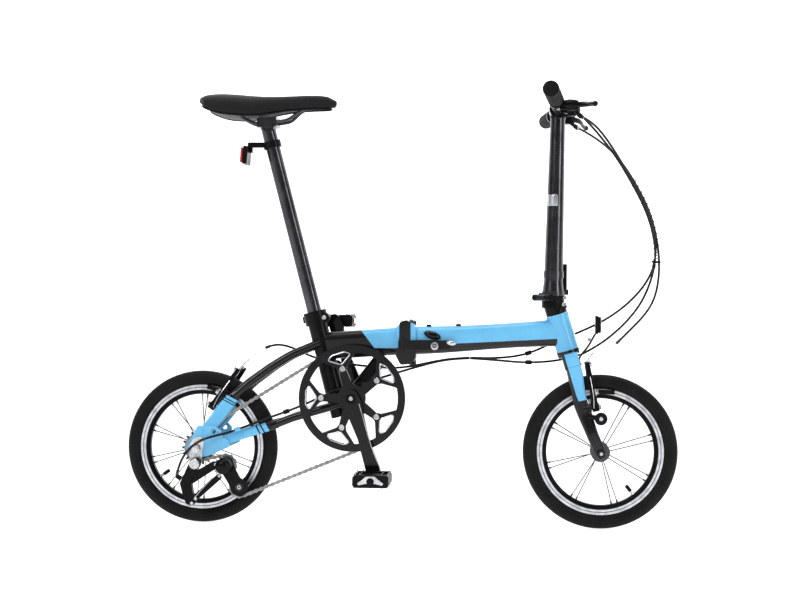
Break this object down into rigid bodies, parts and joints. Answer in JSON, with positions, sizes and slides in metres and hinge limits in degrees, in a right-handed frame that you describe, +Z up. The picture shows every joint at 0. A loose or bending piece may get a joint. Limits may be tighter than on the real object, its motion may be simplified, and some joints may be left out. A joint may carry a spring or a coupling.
{
  "type": "folding bicycle",
  "caption": "Small-wheeled folding bicycle with a mid-beam hinge, folding handlepost, telescoping seatpost, rim brakes and rear derailleur.",
  "frame": {"origin": "on the floor midway between the wheels, in their plane", "axes": "+X forwards, +Y to the rider's left, +Z up"},
  "size_m": [1.177, 0.5436, 0.9207],
  "materials": {
    "blue_and_black_paint": "satin two-tone paint, light blue over black",
    "black_paint": "gloss black paint",
    "black_anodised": "satin black anodised",
    "bare_aluminium": "brushed",
    "machined_rim": "black with a machined brake track",
    "steel": "brushed steel",
    "chain_steel": "dull oiled steel",
    "rubber_tyre": "ribbed black rubber",
    "grip_rubber": "matt textured rubber",
    "black_plastic": "moulded black plastic",
    "cable_housing": "smooth black housing",
    "saddle_cover": "stitched synthetic cover",
    "reflector": "red lens in a black housing"
  },
  "bodies": {
    "rear_frame": {"rear_beam": "blue_and_black_paint", "seat_tube": "black_paint", "seatstays": "blue_and_black_paint", "chainstays": "blue_and_black_paint", "seat_clamp_collar": "black_anodised", "bottom_bracket": "steel", "rear_axle": "steel", "derailleur_hanger": "bare_aluminium", "chain": "chain_steel", "rear_cables": "cable_housing", "hinge_pin": "steel"},
    "seat_clamp": {"seat_clamp_lever": "black_anodised"},
    "front_frame": {"front_beam": "blue_and_black_paint", "head_tube": "blue_and_black_paint", "headset_cups": "black_anodised", "beam_cables": "cable_housing"},
    "frame_latch": {"frame_latch_lever": "black_anodised"},
    "fork": {"fork_crown": "blue_and_black_paint", "fork_blades": "blue_and_black_paint", "front_axle": "steel", "front_bracket": "black_plastic", "handlepost_base": "black_paint"},
    "post_latch": {"handlepost_latch": "black_anodised"},
    "post": {"handlepost": "black_anodised", "stem_clamp": "black_anodised", "handlebar": "black_anodised", "grips": "grip_rubber", "lever_perches": "black_anodised", "front_brake_cable": "cable_housing", "rear_brake_cable": "cable_housing", "shift_cable": "cable_housing"},
    "brake_lever_left": {"brake_blade_left": "black_anodised"},
    "brake_lever_right": {"brake_blade_right": "black_anodised"},
    "gear_lever": {"shifter_lever": "black_plastic"},
    "front_wheel": {"front_tyre": "rubber_tyre", "front_rim": "machined_rim", "front_spokes": "steel", "front_hub": "black_anodised"},
    "rear_wheel": {"rear_tyre": "rubber_tyre", "rear_rim": "machined_rim", "rear_spokes": "steel", "rear_hub": "black_anodised", "cassette": "chain_steel"},
    "crankset": {"crank_right": "black_anodised", "crank_left": "black_anodised", "chainring": "black_anodised"},
    "right_pedal": {"pedal_right": "black_anodised"},
    "left_pedal": {"pedal_left": "black_anodised"},
    "seat": {"seatpost": "black_anodised", "saddle": "saddle_cover", "saddle_rails": "steel", "seat_reflector": "reflector"},
    "front_arm_right": {"front_brake_arm_right": "black_anodised"},
    "front_arm_left": {"front_brake_arm_left": "black_anodised"},
    "rear_arm_right": {"rear_brake_arm_right": "black_anodised"},
    "rear_arm_left": {"rear_brake_arm_left": "black_anodised"},
    "derailleur": {"derailleur_knuckle": "black_plastic"},
    "cage": {"derailleur_cage": "black_plastic"},
    "upper_pulley": {"guide_pulley": "black_plastic"},
    "lower_pulley": {"tension_pulley": "black_plastic"}
  },
  "joints": [
    {"name": "frame_fold", "type": "hinge", "parent": "rear_frame", "child": "front_frame", "pos_m": [0.0235, 0.034, 0.39], "axis": [0, 0, 1], "range_deg": [0, 120], "deforming": ["rear_cables", "beam_cables"]},
    {"name": "frame_latch", "type": "hinge", "parent": "rear_frame", "child": "frame_latch", "pos_m": [0.0035, -0.03, 0.386], "axis": [0, 0, -1], "range_deg": [0, 120]},
    {"name": "seat_clamp", "type": "hinge", "parent": "rear_frame", "child": "seat_clamp", "pos_m": [-0.162, 0.0245, 0.4425], "axis": [0.2538, 0, -0.9673], "range_deg": [0, 65]},
    {"name": "steering", "type": "hinge", "parent": "front_frame", "child": "fork", "pos_m": [0.3578, 0, 0.3712], "axis": [-0.289, 0, 0.9573], "range_deg": [-75, 75]},
    {"name": "post_fold", "type": "hinge", "parent": "fork", "child": "post", "pos_m": [0.3015, -0.022, 0.488], "axis": [0.7071, -0.7071, 0], "range_deg": [0, 175], "deforming": ["front_brake_cable", "rear_brake_cable", "shift_cable"]},
    {"name": "post_latch", "type": "hinge", "parent": "post", "child": "post_latch", "pos_m": [0.34463, 0.02113, 0.5], "axis": [-0.7071, 0.7071, 0], "range_deg": [0, 100]},
    {"name": "front_wheel_spin", "type": "hinge", "parent": "fork", "child": "front_wheel", "pos_m": [0.4255, 0, 0.163], "axis": [0, 1, 0], "continuous": true},
    {"name": "crank_spin", "type": "hinge", "parent": "rear_frame", "child": "crankset", "pos_m": [-0.0975, 0, 0.273], "axis": [0, 1, 0], "continuous": true, "deforming": ["chain"]},
    {"name": "rear_wheel_spin", "type": "hinge", "parent": "rear_frame", "child": "rear_wheel", "pos_m": [-0.4255, 0, 0.163], "axis": [0, 1, 0], "continuous": true},
    {"name": "right_pedal_spin", "type": "hinge", "parent": "crankset", "child": "right_pedal", "pos_m": [-0.04581, -0.129, 0.11105], "axis": [0, 1, 0], "continuous": true},
    {"name": "left_pedal_spin", "type": "hinge", "parent": "crankset", "child": "left_pedal", "pos_m": [-0.14919, 0.129, 0.43495], "axis": [0, 1, 0], "continuous": true},
    {"name": "seatpost_slide", "type": "slide", "parent": "rear_frame", "child": "seat", "axis": [-0.2538, 0, 0.9673], "range_m": [-0.285, 0.02]},
    {"name": "brake_lever_left", "type": "hinge", "parent": "post", "child": "brake_lever_left", "pos_m": [0.3605, 0.118, 0.881], "axis": [0, 0, 1], "range_deg": [0, 25], "stiffness_Nm_per_rad": 0.3, "springref_deg": -17.19},
    {"name": "brake_lever_right", "type": "hinge", "parent": "post", "child": "brake_lever_right", "pos_m": [0.3605, -0.118, 0.881], "axis": [0, 0, -1], "range_deg": [0, 25], "stiffness_Nm_per_rad": 0.3, "springref_deg": -17.19},
    {"name": "gear_lever", "type": "hinge", "parent": "post", "child": "gear_lever", "pos_m": [0.3585, -0.09, 0.864], "axis": [0, 0, 1], "range_deg": [-20, 20], "stiffness_Nm_per_rad": 0.1},
    {"name": "front_arm_left", "type": "hinge", "parent": "fork", "child": "front_arm_left", "pos_m": [0.3895, 0.037, 0.2532], "axis": [0.9833, 0, 0.1821], "range_deg": [0, 1.6]},
    {"name": "front_arm_right", "type": "hinge", "parent": "fork", "child": "front_arm_right", "pos_m": [0.3895, -0.037, 0.2532], "axis": [-0.9833, 0, -0.1821], "range_deg": [0, 1.6]},
    {"name": "rear_arm_left", "type": "hinge", "parent": "rear_frame", "child": "rear_arm_left", "pos_m": [-0.376, 0.045, 0.2387], "axis": [0.8214, 0, -0.5703], "range_deg": [0, 1.6]},
    {"name": "rear_arm_right", "type": "hinge", "parent": "rear_frame", "child": "rear_arm_right", "pos_m": [-0.376, -0.045, 0.2387], "axis": [-0.8214, 0, 0.5703], "range_deg": [0, 1.6]},
    {"name": "derailleur_swing", "type": "hinge", "parent": "rear_frame", "child": "derailleur", "pos_m": [-0.4265, -0.076, 0.133], "axis": [0, 1, 0], "range_deg": [-12, 4], "stiffness_Nm_per_rad": 3},
    {"name": "cage_swing", "type": "hinge", "parent": "derailleur", "child": "cage", "pos_m": [-0.3665, -0.046, 0.128], "axis": [0, 1, 0], "range_deg": [-20, 15], "stiffness_Nm_per_rad": 1},
    {"name": "guide_pulley_spin", "type": "hinge", "parent": "cage", "child": "upper_pulley", "pos_m": [-0.3665, -0.046, 0.128], "axis": [0, 1, 0], "continuous": true},
    {"name": "tension_pulley_spin", "type": "hinge", "parent": "cage", "child": "lower_pulley", "pos_m": [-0.3365, -0.046, 0.0815], "axis": [0, 1, 0], "continuous": true}
  ],
  "couplings": [
    {"joint": "rear_wheel_spin", "follows": "crank_spin", "ratio": 4.0769},
    {"joint": "guide_pulley_spin", "follows": "crank_spin", "ratio": -5.3},
    {"joint": "tension_pulley_spin", "follows": "crank_spin", "ratio": 5.3},
    {"joint": "front_arm_left", "follows": "brake_lever_left", "ratio": 0.064},
    {"joint": "front_arm_right", "follows": "brake_lever_left", "ratio": 0.064},
    {"joint": "rear_arm_left", "follows": "brake_lever_right", "ratio": 0.064},
    {"joint": "rear_arm_right", "follows": "brake_lever_right", "ratio": 0.064}
  ]
}
